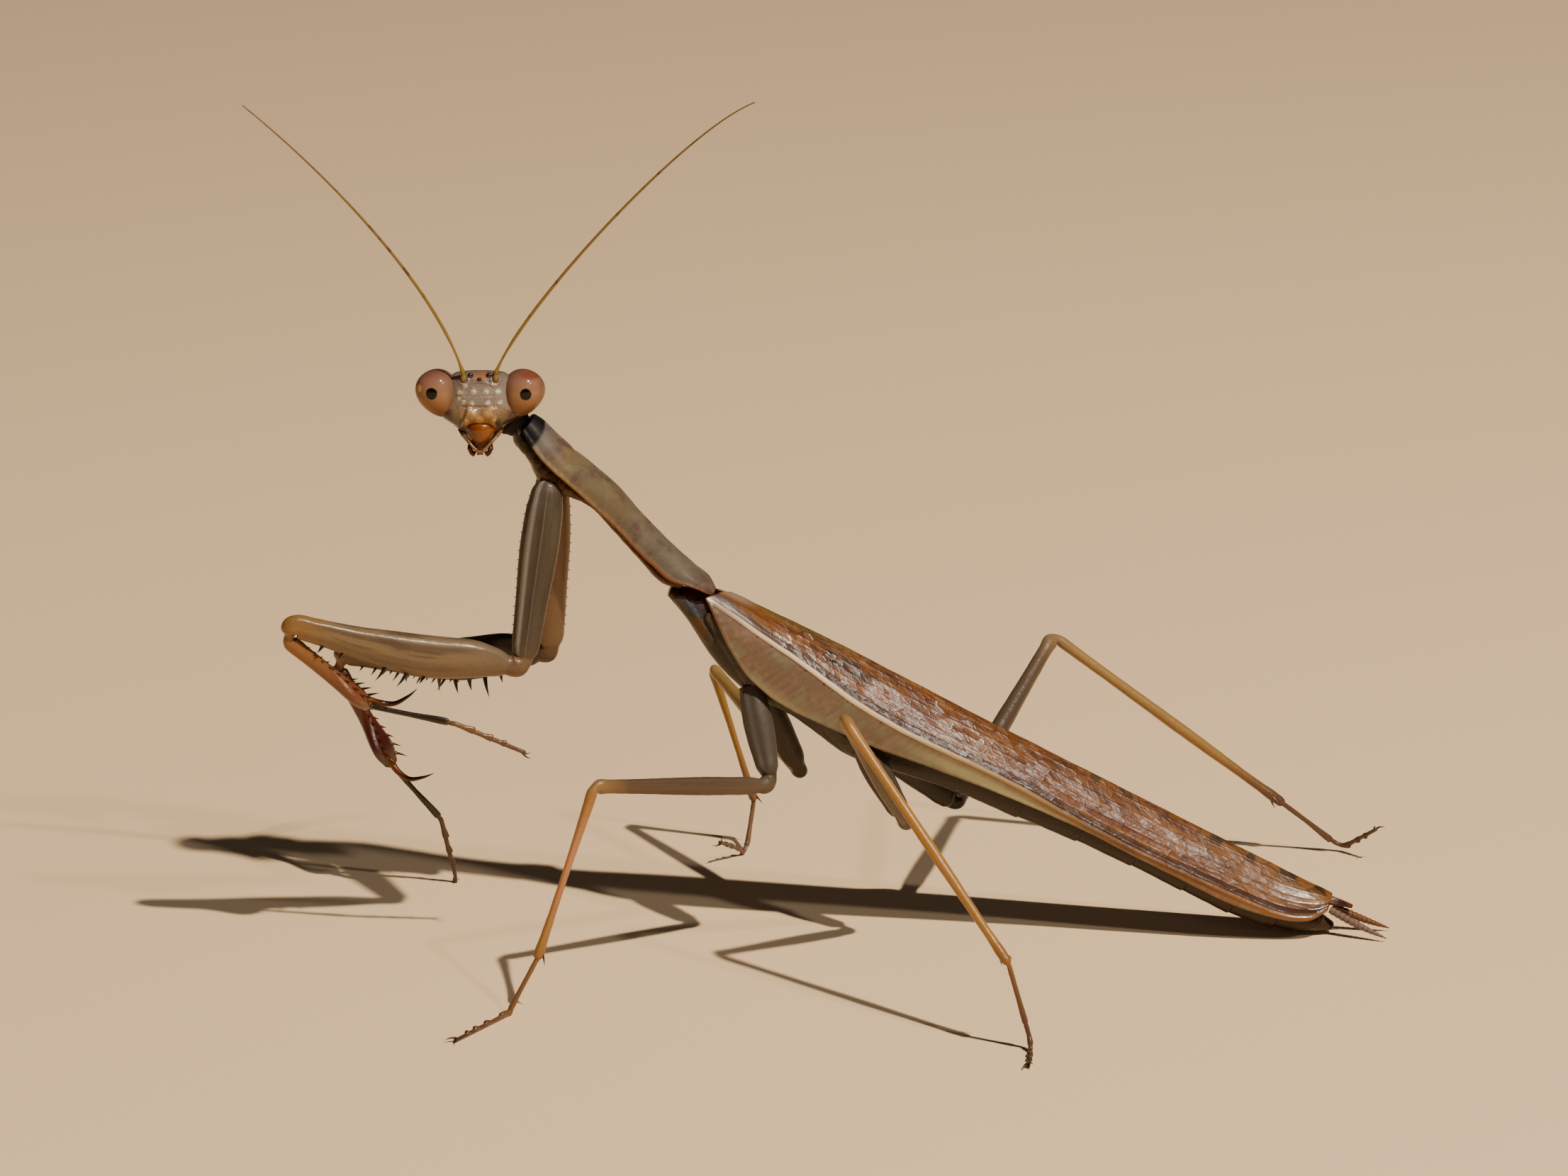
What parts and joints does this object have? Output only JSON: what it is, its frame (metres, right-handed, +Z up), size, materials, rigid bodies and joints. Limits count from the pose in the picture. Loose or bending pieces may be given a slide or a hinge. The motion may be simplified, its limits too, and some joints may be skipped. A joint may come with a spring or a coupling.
{
  "type": "european mantis",
  "caption": "Life-size adult praying mantis, standing with raised grasping forelegs, folded wings and the triangular head turned to its left.",
  "frame": {"origin": "on the floor, under the middle of the animal's bounding box", "axes": "-X towards the head end, -Y the animal's left side, +Z up; the floor is z = 0"},
  "size_m": [0.0786, 0.0448, 0.0604],
  "materials": {
    "head": "grey-mauve cuticle, slightly glossy",
    "eye": "tan-orange compound eye, smooth and glossy",
    "mouthparts": "orange cuticle, glossy",
    "antenna": "ochre-yellow, satin",
    "neck": "dark brown membrane, matt",
    "pronotum": "mottled grey-olive cuticle, satin",
    "prosternum": "brown fleshy underside, matt",
    "thorax": "grey-brown cuticle, matt",
    "abdomen": "dark brown segmented cuticle, satin",
    "forewing": "coppery brown leathery wing, glossy",
    "hindwing": "brown folded membrane, satin",
    "coxa": "olive-brown cuticle, satin",
    "fore_femur": "translucent tan cuticle with fine stripes, glossy",
    "fore_tibia": "orange-red cuticle, glossy",
    "leg_femur": "grey-brown cuticle, satin",
    "leg_tibia": "amber cuticle, satin",
    "tarsus": "brown jointed foot, satin",
    "cercus": "greyish pink, matt"
  },
  "bodies": {
    "root": {"head": "head", "mouthparts": "mouthparts", "neck": "neck", "pronotum": "pronotum", "prosternum": "prosternum", "mesothorax": "thorax", "metathorax": "thorax", "abdomen": "abdomen", "eye_left": "eye", "antenna_left": "antenna", "forewing_left": "forewing", "hindwing_left": "hindwing", "cercus_left": "cercus", "foreleg_left_coxa": "coxa", "foreleg_left_trochanter": "coxa", "foreleg_left_femur": "fore_femur", "foreleg_left_tibia": "fore_tibia", "foreleg_left_tarsus": "tarsus", "midleg_left_coxa": "coxa", "midleg_left_trochanter": "coxa", "midleg_left_femur": "leg_femur", "midleg_left_tibia": "leg_tibia", "midleg_left_tarsus": "tarsus", "hindleg_left_coxa": "coxa", "hindleg_left_trochanter": "coxa", "hindleg_left_femur": "leg_femur", "hindleg_left_tibia": "leg_tibia", "hindleg_left_tarsus": "tarsus", "eye_right": "eye", "antenna_right": "antenna", "forewing_right": "forewing", "hindwing_right": "hindwing", "cercus_right": "cercus", "foreleg_right_coxa": "coxa", "foreleg_right_trochanter": "coxa", "foreleg_right_femur": "fore_femur", "foreleg_right_tibia": "fore_tibia", "foreleg_right_tarsus": "tarsus", "midleg_right_coxa": "coxa", "midleg_right_trochanter": "coxa", "midleg_right_femur": "leg_femur", "midleg_right_tibia": "leg_tibia", "midleg_right_tarsus": "tarsus", "hindleg_right_coxa": "coxa", "hindleg_right_trochanter": "coxa", "hindleg_right_femur": "leg_femur", "hindleg_right_tibia": "leg_tibia", "hindleg_right_tarsus": "tarsus"}
  },
  "joints": []
}
